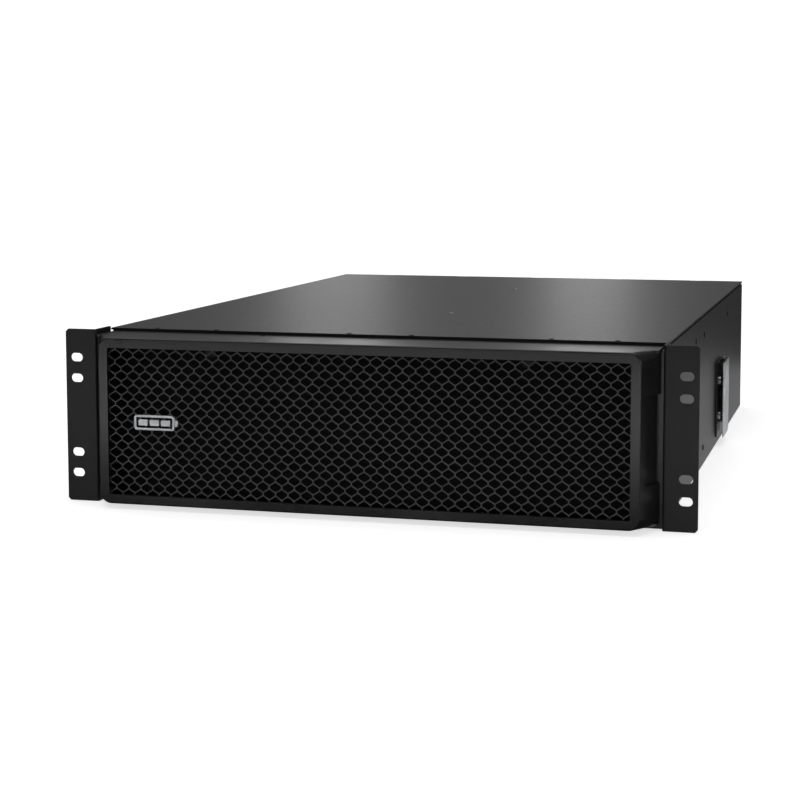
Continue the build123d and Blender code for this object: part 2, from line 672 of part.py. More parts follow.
def countersunk(start, radius, grow, mode=Mode.ADD):
    """Countersunk screw, or its hole, pointing backwards with its head flush at start."""
    x, depth, z = start
    head = Plane(origin=(x, back(depth), z), z_dir=(0, 1, 0))
    with Locations(head):
        seat = (Align.CENTER, Align.CENTER, Align.MIN)
        Cone(radius * 1.9 + grow, radius + grow, 1.6, align=seat, mode=mode)
    rod(start, (0, 1, 0), radius + grow, 6.5, mode)


for name, side in SIDES:
    centre = side * PLUG_X

    with BuildPart() as tray:
        width = (side * TRAY_INNER, side * TRAY_OUTER)
        length = (TRAY_FRONT + TRAY_SHEET, TRAY_REAR + TRAY_SHEET)
        block(width, length, (TRAY_BOTTOM, BLOCK_Z))
        for wall in ((TRAY_INNER, TRAY_INNER + TRAY_SHEET), (TRAY_OUTER - TRAY_SHEET, TRAY_OUTER)):
            block([side * x for x in wall], length, (TRAY_BOTTOM, TRAY_TOP))
        block(width, (TRAY_REAR, TRAY_REAR + TRAY_SHEET), (TRAY_BOTTOM, BLOCK_TOP - 0.3))
        face = (TRAY_FRONT, TRAY_FRONT + TRAY_SHEET)
        block((side * 4, side * 202.4), face, (TRAY_BOTTOM, OPENING_TOP - 1.5))
        window = (centre - PULL_HALF[0], centre + PULL_HALF[0])
        height = (PULL_Z - PULL_HALF[1], PULL_Z + PULL_HALF[1])
        block(window, (TRAY_FRONT - 1, TRAY_FRONT + 3), height, Mode.SUBTRACT)
        for offset in (-PULL_SCREW, PULL_SCREW):
            countersunk((centre + offset, PULL_FACE, PULL_Z), 1.5, 0.0, Mode.SUBTRACT)
    save(tray, f"{name}_tray")

    with BuildPart() as blocks:
        for row in range(BLOCK_ROWS):
            for column in BLOCK_COLUMNS:
                place = (side * column, back(row_centre(row)))
                with BuildSketch(Plane.XY.offset(BLOCK_Z)):
                    with Locations(place):
                        RectangleRounded(BLOCK_WIDTH, BLOCK_LENGTH, 2.0)
                extrude(amount=BLOCK_HEIGHT)
    save(blocks, f"{name}_battery_blocks")

    with BuildPart() as terminals:
        for row in range(BLOCK_ROWS):
            y = row_centre(row) + TERMINAL_Y
            for column in BLOCK_COLUMNS:
                for offset in (-TERMINAL_X, TERMINAL_X):
                    x = side * (column + offset)
                    block((x - PAD, x + PAD), (y - PAD, y + PAD), (BLOCK_TOP, PAD_TOP))
    save(terminals, f"{name}_terminals")

    with BuildPart() as links:
        inner = (BLOCK_COLUMNS[0] + TERMINAL_X, BLOCK_COLUMNS[1] - TERMINAL_X)
        outer = (BLOCK_COLUMNS[0] - TERMINAL_X, BLOCK_COLUMNS[1] + TERMINAL_X)
        for row in range(BLOCK_ROWS):
            y = row_centre(row) + TERMINAL_Y
            across = (side * (inner[0] - PAD), side * (inner[1] + PAD))
            block(across, (y - PAD, y + PAD), (PAD_TOP, LINK_TOP))
            if row < BLOCK_ROWS - 1:
                x = side * outer[1 - row % 2]
                following = row_centre(row + 1) + TERMINAL_Y
                block((x - PAD, x + PAD), (y - PAD, following + PAD), (PAD_TOP, LINK_TOP))
    save(links, f"{name}_link_bars")

    with BuildPart() as leads:
        edge = side * (outer[0] - PAD)
        first = row_centre(0) + TERMINAL_Y
        wire(
            (
                (edge, first, LEAD_Z),
                (side * 13.2, first, LEAD_Z),
                (side * 13.2, LEAD_BACK, LEAD_Z),
                (side * 13.2, LEAD_BACK, PLUG_Z),
                (centre - side * SOCKET_HALF_WIDTH, LEAD_BACK, PLUG_Z),
            ),
            (2.4, 5, 8),
            LEAD_RADIUS,
        )
        edge = side * (outer[0] + PAD)
        last = row_centre(BLOCK_ROWS - 1) + TERMINAL_Y
        wire(
            (
                (edge, last, LEAD_Z),
                (side * 38, last, LEAD_Z),
                (side * 38, LEAD_BACK, LEAD_Z),
                (centre, LEAD_BACK, LEAD_Z),
                (centre, LEAD_BACK, PLUG_Z + SOCKET_HALF_HEIGHT + 1),
            ),
            (5, 8, 8),
            LEAD_RADIUS,
        )
    save(leads, f"{name}_leads")

    with BuildPart() as sheet:
        block(width, (TRAY_FRONT + TRAY_SHEET, TRAY_REAR), (TRAY_TOP, TRAY_TOP + 0.8))
    save(sheet, f"{name}_insulating_sheet")

    with BuildPart() as pull:
        flange = (centre - 54, centre + 54)
        block(flange, (PULL_FACE, TRAY_FRONT), (PULL_Z - 23, PULL_Z + 23))
        block(window, (TRAY_FRONT, FIRST_BLOCK - 0.8), height)
        hollow = (window[0] + 1.5, window[1] - 1.5)
        room = (height[0] + 1.5, height[1] - 1.5)
        block(hollow, (TRAY_FRONT + 0.4, FIRST_BLOCK - 2.2), room, Mode.SUBTRACT)
        block(hollow, (PULL_FACE - 1, TRAY_FRONT + 1), (room[0], PULL_Z + 4), Mode.SUBTRACT)
        for offset in (-PULL_SCREW, PULL_SCREW):
            countersunk((centre + offset, PULL_FACE, PULL_Z), 1.5, 0.0, Mode.SUBTRACT)
    save(pull, f"{name}_pull")

    with BuildPart() as pull_screws:
        for offset in (-PULL_SCREW, PULL_SCREW):
            countersunk((centre + offset, PULL_FACE, PULL_Z), 1.5, 0.0)
    save(pull_screws, f"{name}_pull_screws")

    with BuildPart() as plug:
        base = (centre - SOCKET_HALF_WIDTH, centre + SOCKET_HALF_WIDTH)
        tall = PLUG_Z + SOCKET_HALF_HEIGHT + 1
        block(base, PLUG_BASE, (PLUG_Z - SOCKET_HALF_HEIGHT - 1, tall))
        block((centre - 20, centre + 20), (PLUG_BASE[1], NOSE_END), (PLUG_Z - 11, PLUG_Z + 11))
        for offset in PLUG_CONTACTS:
            slot = (centre + offset - BLADE_HALF - 0.5, centre + offset + BLADE_HALF + 0.5)
            block(slot, (BULKHEAD + 1, NOSE_END + 1), (PLUG_Z - 2, PLUG_Z + 2), Mode.SUBTRACT)
    save(plug, f"{name}_plug")

# ---------------------------------------------------------------- door

DOOR_FACE = (0.3, 1.8)
FERRULE_RADIUS = 3.2
SHANK_RADIUS = 2.0

with BuildPart() as battery_door:
    block((-202.8, 202.8), DOOR_FACE, (3.05, 125.5))
    for height in ((7.5, 9.0), (124.0, 125.5)):
        block((-190, 190), (-6, DOOR_FACE[0]), height)
    for x in (-150, -50, 50, 150):
        block((x - 12, x + 12), (DOOR_FACE[1], 5.5), (3.05, 4.25))
    for _, side in SIDES:
        rod((side * THUMB_X, 0, THUMB_Z), (0, 1, 0), FERRULE_RADIUS, 3, Mode.SUBTRACT)
save(battery_door, "battery_door")

with BuildPart() as thumbscrew_ferrules:
    for _, side in SIDES:
        start = (side * THUMB_X, DOOR_FACE[0] - 1.1, THUMB_Z)
        rod(start, (0, 1, 0), 4.4, 1.1)
        rod(start, (0, 1, 0), FERRULE_RADIUS, 1.1 + SHEET)
        rod(start, (0, 1, 0), SHANK_RADIUS + RUNNING, 1.1 + SHEET, Mode.SUBTRACT)
save(thumbscrew_ferrules, "thumbscrew_ferrules")

HEAD_RADIUS = 4.6
HEAD_FRONT = -8.0
HEAD_BACK = DOOR_FACE[0] - 1.2

for name, side in SIDES:
    with BuildPart() as thumbscrew:
        centre = (side * THUMB_X, THUMB_Z)
        with BuildSketch(facing_front(HEAD_BACK)) as head:
            with Locations(centre):
                Circle(HEAD_RADIUS)
                with PolarLocations(HEAD_RADIUS, 18):
                    Circle(0.45, mode=Mode.SUBTRACT)
        extrude(amount=HEAD_BACK - HEAD_FRONT)
        front = (side * THUMB_X, HEAD_FRONT, THUMB_Z)
        rod(front, (0, 1, 0), SHANK_RADIUS, FRAME_BACK + 1.5 - HEAD_FRONT)
        slot = (side * THUMB_X - HEAD_RADIUS, side * THUMB_X + HEAD_RADIUS)
        block(slot, (HEAD_FRONT - 1, HEAD_FRONT + 1.4), (THUMB_Z - 0.6, THUMB_Z + 0.6), Mode.SUBTRACT)
    save(thumbscrew, f"thumbscrew_{name}")

# ---------------------------------------------------------------- bezel

BEZEL_MIDDLE = (BEZEL_LOW + BEZEL_HIGH) / 2
BEZEL_TALL = BEZEL_HIGH - BEZEL_LOW
SKIRT_BACK = COVER_FRONT - 0.7
LIP_BACK = BEZEL_LIP - BEZEL_PROUD
TAPER = (BEZEL_HALF_BACK - BEZEL_HALF_FRONT) / (BEZEL_BACK + BEZEL_PROUD)


def side_face(distance):
    """Half width of the bezel's outer side at a distance behind the ear face."""
    return BEZEL_HALF_FRONT + TAPER * (distance + BEZEL_PROUD)


def bezel_section(distance, inset, corner):
    """Rounded outline of the bezel at one depth, drawn inside the outer surface by inset."""
    with BuildSketch(facing_front(distance)) as section:
        with Locations((0, BEZEL_MIDDLE)):
            width = 2 * (side_face(distance) - inset)
            RectangleRounded(width, BEZEL_TALL - 2 * inset, corner)
    return section.sketch


MESH_SCREWS = [(x, z) for x in (-180, -90, 0, 90, 180) for z in (BEZEL_LOW + 5.4, BEZEL_HIGH - 5.4)]
GRIP_LEDGE = 4.0
PIN_X = 204.3
PIN_BACK = -14.6
PIN_RADIUS = 1.0
BOSS = (-7.5, -0.8)

with BuildPart() as bezel_frame:
    loft(sections=[bezel_section(-BEZEL_PROUD, 0, 9.0), bezel_section(BEZEL_BACK, 0, 3.0)])
    front_rim = bezel_frame.faces().sort_by(Axis.Y)[0].edges()
    fillet(front_rim, 1.2)
    inner = [bezel_section(LIP_BACK, BEZEL_WALL, 6.5), bezel_section(BEZEL_BACK + 1, BEZEL_WALL, 2.0)]
    loft(sections=inner, mode=Mode.SUBTRACT)
    with BuildSketch(facing_front(LIP_BACK + 1)):
        with Locations((0, MIDDLE)):
            RectangleRounded(WINDOW_WIDTH, WINDOW_HEIGHT, 1.5)
    extrude(amount=BEZEL_LIP + 2, mode=Mode.SUBTRACT)
    block((-213.2, 213.2), (BEZEL_BACK - 4, SKIRT_BACK), (RAIL_TOP, BEZEL_HIGH))
    for _, side in SIDES:
        liner = (side * (GRIP_FLOOR - 2), side * GRIP_FLOOR)
        block(liner, (LIP_BACK, BEZEL_BACK), (GRIP_LOW - GRIP_LEDGE, GRIP_HIGH + GRIP_LEDGE))
        for ledge in ((GRIP_LOW - GRIP_LEDGE, GRIP_LOW), (GRIP_HIGH, GRIP_HIGH + GRIP_LEDGE)):
            with BuildSketch(Plane.XY.offset(ledge[0])):
                with BuildLine():
                    Polyline(
                        (side * (GRIP_FLOOR - 1), back(LIP_BACK)),
                        (side * (side_face(LIP_BACK) - 1), back(LIP_BACK)),
                        (side * (side_face(BEZEL_BACK) - 1), back(BEZEL_BACK)),
                        (side * (GRIP_FLOOR - 1), back(BEZEL_BACK)),
                        close=True,
                    )
                make_face()
            extrude(amount=GRIP_LEDGE)
        pocket = (side * GRIP_FLOOR, side * (BEZEL_HALF_BACK + 2))
        block(pocket, (GRIP_FRONT, BEZEL_BACK + 1), (GRIP_LOW, GRIP_HIGH), Mode.SUBTRACT)
        post = (side * GRIP_FLOOR, side * (side_face(LIP_BACK) - 1))
        block(post, (LIP_BACK, GRIP_FRONT), (GRIP_LOW, GRIP_HIGH))
        for height in (GRIP_LOW - 2.2, GRIP_HIGH - 0.5):
            rod((side * PIN_X, PIN_BACK, height), (0, 0, 1), PIN_RADIUS + RUNNING, 2.7, Mode.SUBTRACT)
        for height in STUD_HEIGHTS:
            place = (side * STUD_X, BOSS[0], height)
            rod(place, (0, 1, 0), 4.0, BOSS[1] - BOSS[0])
            rod(place, (0, 1, 0), 2.5 + RUNNING, BOSS[1] - BOSS[0], Mode.SUBTRACT)
    for x, z in MESH_SCREWS:
        rod((x, LIP_BACK - 1.2, z), (0, 1, 0), 1.0, 3, Mode.SUBTRACT)
save(bezel_frame, "bezel_frame")

MESH_FRONT = LIP_BACK
MESH_BACK = LIP_BACK + MESH_SHEET
MESH_HALF = 198.9
LATTICE_WIDTH = (CELL_COLUMNS + 0.5) * CELL_PITCH
HEXAGON = (
    (CELL_HALF_WIDTH, CELL_SIDE),
    (0, CELL_TIP),
    (-CELL_HALF_WIDTH, CELL_SIDE),
    (-CELL_HALF_WIDTH, -CELL_SIDE),
    (0, -CELL_TIP),
    (CELL_HALF_WIDTH, -CELL_SIDE),
)
HALF_HEXAGON = ((0, CELL_TIP), (0, -CELL_TIP), (CELL_HALF_WIDTH, -CELL_SIDE), (CELL_HALF_WIDTH, CELL_SIDE))
mesh_plane = facing_front(MESH_BACK)


def cell(x, z, outline, flip=1):
    """Closed wire of one mesh opening around its centre."""
    corners = [mesh_plane.from_local_coords((x + flip * u, z + v, 0)) for u, v in outline]
    return Wire.make_polygon(corners, close=True)


cells = []
for row in range(CELL_ROWS):
    offset_row = row % 2
    cell_z = MIDDLE + ((CELL_ROWS - 1) / 2 - row) * ROW_PITCH
    first_x = -LATTICE_WIDTH / 2 + CELL_PITCH * (0.5 + 0.5 * offset_row)
    cells += [cell(first_x + column * CELL_PITCH, cell_z, HEXAGON) for column in range(CELL_COLUMNS)]
    inward = 1 if offset_row else -1
    cells.append(cell(-inward * LATTICE_WIDTH / 2, cell_z, HALF_HEXAGON, inward))
for x, z in MESH_SCREWS:
    place = Plane(origin=mesh_plane.from_local_coords((x, z, 0)), z_dir=mesh_plane.z_dir)
    cells.append(Wire.make_circle(1.0, place))

with BuildPart() as hex_mesh:
    low, high = MIDDLE - WINDOW_HEIGHT / 2 - 3.5, MIDDLE + WINDOW_HEIGHT / 2 + 3.5
    rim = ((-MESH_HALF, low), (MESH_HALF, low), (MESH_HALF, high), (-MESH_HALF, high))
    extrude(to_extrude=Face(cell(0, 0, rim), cells), amount=MESH_SHEET, dir=mesh_plane.z_dir)
save(hex_mesh, "hex_mesh")

with BuildPart() as mesh_screws:
    for x, z in MESH_SCREWS:
        pan_head_screw((x, MESH_BACK, z), (0, -1, 0), 1.0, 2.4, 1.8, 1.0)
save(mesh_screws, "mesh_screws")

BADGE_CENTRE = (-158.5, 66.1)
BADGE_SIZE = (35.0, 11.5)
BADGE_THICK = 1.6

with BuildPart() as badge:
    with BuildSketch(facing_front(MESH_FRONT)):
        with Locations(BADGE_CENTRE):
            RectangleRounded(*BADGE_SIZE, 1.8)
    extrude(amount=BADGE_THICK)
    chamfer(badge.faces().sort_by(Axis.Y)[0].edges(), 0.4)
save(badge, "badge")

LEVER_GAP = 0.4
LEVER_RECESS = 1.3
LEVER_THICK = 2.4
LEVER_FRONT = GRIP_FRONT + 0.7
LEVER_BACK = -2.2

for name, side in SIDES:
    with BuildPart() as lever:
        with BuildSketch(Plane.XY.offset(GRIP_LOW + LEVER_GAP)):
            with BuildLine():
                Polyline(
                    (side * (side_face(LEVER_FRONT) - LEVER_RECESS), back(LEVER_FRONT)),
                    (side * (side_face(LEVER_BACK) - LEVER_RECESS), back(LEVER_BACK)),
                    (side * (side_face(LEVER_BACK) - LEVER_RECESS - LEVER_THICK), back(LEVER_BACK)),
                    (side * (side_face(LEVER_FRONT) - LEVER_RECESS - LEVER_THICK), back(LEVER_FRONT)),
                    close=True,
                )
            make_face()
        extrude(amount=GRIP_HIGH - GRIP_LOW - 2 * LEVER_GAP)
        foot = (side * PIN_X, PIN_BACK, GRIP_LOW + LEVER_GAP)
        rod(foot, (0, 0, 1), 1.8, GRIP_HIGH - GRIP_LOW - 2 * LEVER_GAP)
        rod((side * PIN_X, PIN_BACK, GRIP_LOW - 1.8), (0, 0, 1), PIN_RADIUS, GRIP_HIGH - GRIP_LOW + 3.6)
    save(lever, f"release_lever_{name}")
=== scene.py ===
import json
import math

import bmesh
import bpy
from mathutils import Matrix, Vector


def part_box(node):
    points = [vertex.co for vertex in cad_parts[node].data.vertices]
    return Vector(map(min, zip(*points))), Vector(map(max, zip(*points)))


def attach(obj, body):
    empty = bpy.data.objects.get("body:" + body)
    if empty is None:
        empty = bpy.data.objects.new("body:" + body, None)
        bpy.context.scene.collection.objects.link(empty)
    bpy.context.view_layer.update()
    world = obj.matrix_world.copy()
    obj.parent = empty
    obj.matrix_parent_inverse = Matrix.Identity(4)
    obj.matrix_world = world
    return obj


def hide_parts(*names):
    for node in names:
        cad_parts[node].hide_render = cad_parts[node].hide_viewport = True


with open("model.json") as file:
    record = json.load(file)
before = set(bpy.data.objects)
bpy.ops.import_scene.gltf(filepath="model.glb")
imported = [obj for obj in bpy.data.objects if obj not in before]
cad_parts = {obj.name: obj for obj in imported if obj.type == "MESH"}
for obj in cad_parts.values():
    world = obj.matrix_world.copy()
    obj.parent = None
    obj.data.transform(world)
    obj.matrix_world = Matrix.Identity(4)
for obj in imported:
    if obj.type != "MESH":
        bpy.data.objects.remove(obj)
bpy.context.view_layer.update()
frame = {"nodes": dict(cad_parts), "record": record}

NODES = frame["nodes"]
MM = 0.001
SLOT_OF = {part["node"]: part["material_slot"] for part in frame["record"]["subparts"]}


# ---------------------------------------------------------------- materials
# Every texture is placed in object space, in metres, so a scale of 1000 is one millimetre.

def shader(name, colour, roughness, metallic=0.0, specular=0.5):
    """A new material with its Principled node and a texture coordinate in metres."""
    material = bpy.data.materials.new(name)
    material.use_nodes = True
    tree = material.node_tree
    principled = tree.nodes["Principled BSDF"]
    principled.inputs["Base Color"].default_value = (*colour, 1)
    principled.inputs["Roughness"].default_value = roughness
    principled.inputs["Metallic"].default_value = metallic
    principled.inputs["Specular IOR Level"].default_value = specular
    where = tree.nodes.new("ShaderNodeTexCoord")
    return material, tree, principled, where.outputs["Object"]


def noise(tree, where, scale, detail=2.0, stretch=None):
    """Noise of about 1/scale metres; stretch scales the axes against each other."""
    if stretch:
        mapping = tree.nodes.new("ShaderNodeMapping")
        mapping.inputs["Scale"].default_value = stretch
        tree.links.new(where, mapping.inputs["Vector"])
        where = mapping.outputs["Vector"]
    texture = tree.nodes.new("ShaderNodeTexNoise")
    texture.inputs["Scale"].default_value = scale
    texture.inputs["Detail"].default_value = detail
    tree.links.new(where, texture.inputs["Vector"])
    return texture.outputs["Fac"]


def cells(tree, where, scale):
    """Voronoi cells of about 1/scale metres, as the distance to the nearest centre."""
    texture = tree.nodes.new("ShaderNodeTexVoronoi")
    texture.inputs["Scale"].default_value = scale
    tree.links.new(where, texture.inputs["Vector"])
    return texture.outputs["Distance"]


def between(tree, value, low, high, start=0.3, end=0.7):
    """Maps a texture's start..end to low..high."""
    node = tree.nodes.new("ShaderNodeMapRange")
    node.inputs["From Min"].default_value = start
    node.inputs["From Max"].default_value = end
    node.inputs["To Min"].default_value = low
    node.inputs["To Max"].default_value = high
    tree.links.new(value, node.inputs["Value"])
    return node.outputs["Result"]


def tint(tree, value, dark, light, start=0.3, end=0.7):
    """A colour between dark and light, chosen by a texture."""
    ramp = tree.nodes.new("ShaderNodeValToRGB")
    ramp.color_ramp.elements[0].position = start
    ramp.color_ramp.elements[0].color = (*dark, 1)
    ramp.color_ramp.elements[1].position = end
    ramp.color_ramp.elements[1].color = (*light, 1)
    tree.links.new(value, ramp.inputs["Fac"])
    return ramp.outputs["Color"]


def bump(tree, principled, *layers):
    """Stacks bump layers of (height, distance in metres)."""
    normal = None
    for height, distance in layers:
        node = tree.nodes.new("ShaderNodeBump")
        node.inputs["Strength"].default_value = 1.0
        node.inputs["Distance"].default_value = distance
        tree.links.new(height, node.inputs["Height"])
        if normal:
            tree.links.new(normal, node.inputs["Normal"])
        normal = node.outputs["Normal"]
    tree.links.new(normal, principled.inputs["Normal"])


def shade(colour, factor):
    return tuple(min(1.0, channel * factor) for channel in colour)


def powder_coat(name, colour, roughness, pebble=0.00002, specular=0.5):
    """Fine textured powder coat: pebbled skin, faint cloudiness, slightly uneven gloss."""
    material, tree, principled, where = shader(name, colour, roughness, specular=specular)
    pebbles = noise(tree, where, 1500, 3)
    orange_peel = noise(tree, where, 300, 2)
    cloud = noise(tree, where, 14, 4)
    tree.links.new(
        tint(tree, cloud, shade(colour, 0.92), shade(colour, 1.08)), principled.inputs["Base Color"]
    )
    tree.links.new(
        between(tree, orange_peel, roughness - 0.02, roughness + 0.02),
        principled.inputs["Roughness"],
    )
    bump(tree, principled, (orange_peel, pebble * 0.5), (pebbles, pebble))
    return material


def moulded(name, colour, roughness, grain=0.00004, scale=1100, coat=0.0):
    """Moulded plastic: eroded grain in the mould face, faint flow clouding."""
    material, tree, principled, where = shader(name, colour, roughness)
    distance = cells(tree, where, scale)
    fine = noise(tree, where, scale * 1.8, 2)
    cloud = noise(tree, where, 22, 3)
    tree.links.new(
        tint(tree, cloud, shade(colour, 0.9), shade(colour, 1.12)), principled.inputs["Base Color"]
    )
    tree.links.new(
        between(tree, cloud, roughness - 0.04, roughness + 0.05), principled.inputs["Roughness"]
    )
    principled.inputs["Coat Weight"].default_value = coat
    principled.inputs["Coat Roughness"].default_value = 0.25
    bump(tree, principled, (distance, grain), (fine, grain * 0.5))
    return material


def plated(name, colour, roughness, spangle=500, contrast=0.1):
    """Zinc-like plating: crystal spangle, dull patches and fine scuffs."""
    material, tree, principled, where = shader(name, colour, roughness, metallic=1.0)
    distance = cells(tree, where, spangle)
    patch = noise(tree, where, 60, 4)
    scuff = noise(tree, where, 900, 3, (1, 1, 0.06))
    tree.links.new(
        tint(tree, patch, shade(colour, 1 - contrast), shade(colour, 1 + contrast)),
        principled.inputs["Base Color"],
    )
    tree.links.new(
        between(tree, patch, roughness + 0.1, roughness - 0.05), principled.inputs["Roughness"]
    )
    bump(tree, principled, (distance, 0.00003), (scuff, 0.000015))
    return material


def strap_with_painted_shade_foot(name, colour, roughness, split_at):
    """Zinc strap whose foot, nearer the middle than split_at, is coloured near black as painted
    shade for the dark inside of the bracket's channel.
    """
    material = plated(name, colour, roughness)
    tree = material.node_tree
    principled = tree.nodes["Principled BSDF"]
    place = tree.nodes.new("ShaderNodeTexCoord")
    axes = tree.nodes.new("ShaderNodeSeparateXYZ")
    tree.links.new(place.outputs["Object"], axes.inputs["Vector"])
    distance = tree.nodes.new("ShaderNodeMath")
    distance.operation = "ABSOLUTE"
    tree.links.new(axes.outputs["X"], distance.inputs[0])
    strap = between(tree, distance.outputs["Value"], 0.0, 1.0, split_at, split_at + 0.1 * MM)
    tree.links.new(strap, principled.inputs["Metallic"])
    zinc = principled.inputs["Base Color"].links[0].from_socket
    painted_shade_mix = tree.nodes.new("ShaderNodeMix")
    painted_shade_mix.data_type = "RGBA"
    # Painted shade: the foot's near-black colour stands in for the shade inside the bracket's
    # channel.
    painted_shade_mix.inputs["A"].default_value = (0.008, 0.008, 0.0085, 1)
    tree.links.new(strap, painted_shade_mix.inputs["Factor"])
    tree.links.new(zinc, painted_shade_mix.inputs["B"])
    tree.links.new(painted_shade_mix.outputs["Result"], principled.inputs["Base Color"])
    return material


def brushed(name, colour, roughness, stretch=(0.03, 1, 1), tarnish=0.1):
    """Brushed or drawn metal: long fine lines along the stretched axis."""
    material, tree, principled, where = shader(name, colour, roughness, metallic=1.0)
    lines = noise(tree, where, 3200, 3, stretch)
    patch = noise(tree, where, 90, 3)
    tree.links.new(
        tint(tree, patch, shade(colour, 1 - tarnish), shade(colour, 1 + tarnish / 2)),
        principled.inputs["Base Color"],
    )
    tree.links.new(
        between(tree, lines, roughness - 0.08, roughness + 0.1), principled.inputs["Roughness"]
    )
    bump(tree, principled, (lines, 0.00002))
    return material


def insulation(name, colour):
    """Extruded wire insulation: soft sheen with long shallow ripples."""
    material, tree, principled, where = shader(name, colour, 0.42)
    ripple = noise(tree, where, 240, 2)
    fine = noise(tree, where, 2200, 2)
    tree.links.new(
        tint(tree, ripple, shade(colour, 0.85), shade(colour, 1.12)), principled.inputs["Base Color"]
    )
    tree.links.new(between(tree, ripple, 0.36, 0.5), principled.inputs["Roughness"])
    principled.inputs["Sheen Weight"].default_value = 0.08
    bump(tree, principled, (ripple, 0.00008), (fine, 0.00001))
    return material


def film(name, colour):
    """Cloudy insulating film with a gloss coat and handling scuffs."""
    material, tree, principled, where = shader(name, colour, 0.3)
    haze = noise(tree, where, 35, 4)
    scuff = noise(tree, where, 600, 3, (1, 0.08, 1))
    tree.links.new(
        tint(tree, haze, shade(colour, 0.9), shade(colour, 1.06)), principled.inputs["Base Color"]
    )
    tree.links.new(between(tree, scuff, 0.24, 0.38), principled.inputs["Roughness"])
    principled.inputs["Coat Weight"].default_value = 0.3
    principled.inputs["Coat Roughness"].default_value = 0.12
    bump(tree, principled, (haze, 0.0004), (scuff, 0.000015))
    return material


def solder_mask(name, colour):
    """Circuit board lacquer: copper runs show as a faint raised pattern."""
    material, tree, principled, where = shader(name, colour, 0.3)
    distance = cells(tree, where, 260)
    weave = noise(tree, where, 1400, 2, (1, 1, 0.3))
    tree.links.new(
        tint(tree, distance, shade(colour, 0.7), shade(colour, 1.35), 0.2, 0.75),
        principled.inputs["Base Color"],
    )
    tree.links.new(between(tree, weave, 0.24, 0.36), principled.inputs["Roughness"])
    principled.inputs["Coat Weight"].default_value = 0.5
    principled.inputs["Coat Roughness"].default_value = 0.15
    bump(tree, principled, (distance, 0.00006), (weave, 0.00001))
    return material


MATERIALS = {
    "chassis_black": powder_coat("chassis_powder_coat", (0.012, 0.012, 0.0125), 0.38),
    "bezel_black": moulded("bezel_moulding", (0.0055, 0.0055, 0.0058), 0.31, 0.000010),
    "mesh_black": powder_coat("mesh_powder_coat", (0.046, 0.046, 0.047), 0.42, 0.00001),
    "badge_metal": brushed("badge_brushed", (0.36, 0.37, 0.38), 0.34, tarnish=0.08),
    # The side brackets' zinc, with painted shade on the foot inside the channel.
    "zinc": strap_with_painted_shade_foot("bracket_zinc_painted_shade_foot", (0.62, 0.65, 0.67), 0.30, 217.3 * MM),
    "screw_zinc": plated("screw_zinc_plate", (0.62, 0.63, 0.65), 0.26, 900),
    "rivet_black": powder_coat("rivet_paint", (0.012, 0.012, 0.012), 0.5),
    "guide_white": moulded("guide_acetal", (0.72, 0.72, 0.69), 0.35, 0.00002),
    "block_grey": moulded("battery_case", (0.035, 0.036, 0.040), 0.45, 0.00006, 700),
    "lead_metal": brushed("terminal_tin", (0.56, 0.56, 0.57), 0.42, (1, 1, 0.05), 0.16),
    "copper": brushed("copper_bar", (0.78, 0.44, 0.30), 0.34, (1, 0.04, 1), 0.2),
    "wire_red": insulation("insulation_red", (0.42, 0.016, 0.014)),
    "wire_black": insulation("insulation_black", (0.014, 0.014, 0.015)),
    "wire_grey": insulation("insulation_grey", (0.24, 0.24, 0.25)),
    "sheet_clear": film("insulating_film", (0.70, 0.71, 0.66)),
    "plug_grey": moulded("connector_nylon", (0.11, 0.115, 0.12), 0.40, 0.00003),
    "pull_black": moulded("pull_nylon", (0.018, 0.018, 0.019), 0.32, 0.00003, 900, 0.1),
    "board_green": solder_mask("solder_mask", (0.012, 0.105, 0.045)),
    "board_black": moulded("component_epoxy", (0.020, 0.020, 0.023), 0.36, 0.00002, 1500, 0.15),
    "breaker_grey": moulded("breaker_case", (0.075, 0.078, 0.085), 0.38, 0.00003),
    "toggle_white": moulded("toggle_nylon", (0.72, 0.72, 0.68), 0.28, 0.00001, 1500, 0.2),
    "fuse_white": moulded("fuse_ceramic", (0.80, 0.79, 0.74), 0.25, 0.00001, 1500, 0.3),
    "tray_zinc": plated("tray_galvanised", (0.56, 0.58, 0.60), 0.36, 140, 0.16),
}


# ---------------------------------------------------------------- carried-over CAD nodes

# Bevel widths in millimetres.
SOFT_EDGE = {
    "bezel_frame": 0.45, "base_pan": 0.3, "top_cover": 0.55, "front_frame": 0.3,
    "rack_ear_left": 0.35, "rack_ear_right": 0.35, "rear_panel": 0.3, "battery_door": 0.3,
    "release_lever_left": 0.3, "release_lever_right": 0.3,
    "side_bracket_left": 0.25, "side_bracket_right": 0.25,
    "left_tray": 0.3, "right_tray": 0.3, "left_pull": 0.6, "right_pull": 0.6,
    "left_plug": 0.4, "right_plug": 0.4, "dc_sockets": 0.4, "breaker_body": 0.5,
    "breaker_toggle": 0.3, "bay_guides": 0.4, "bay_sockets": 0.4, "comm_ports": 0.15,
    "thumbscrew_left": 0.2, "thumbscrew_right": 0.2, "thumbscrew_ferrules": 0.15,
    "chassis_screws": 0.12, "chassis_rivets": 0.08, "ground_stud": 0.15, "ground_nuts": 0.2,
}


WELD_REACH = 0.002 * MM
FLAT_ANGLE = 0.6
EDGE_ANGLE = 35.0
EDGE_SEGMENTS = 2


def soften(piece, width):
    """Rounds the sharp edges a little, so that they catch light as real edges do."""
    weld = piece.modifiers.new("weld", "WELD")
    weld.merge_threshold = WELD_REACH
    flats = piece.modifiers.new("flats", "DECIMATE")
    flats.decimate_type = "DISSOLVE"
    flats.angle_limit = math.radians(FLAT_ANGLE)
    edge = piece.modifiers.new("edge", "BEVEL")
    edge.width = width * MM
    edge.segments = EDGE_SEGMENTS
    edge.limit_method = "ANGLE"
    edge.angle_limit = math.radians(EDGE_ANGLE)
    normals = piece.modifiers.new("normals", "WEIGHTED_NORMAL")
    normals.keep_sharp = False
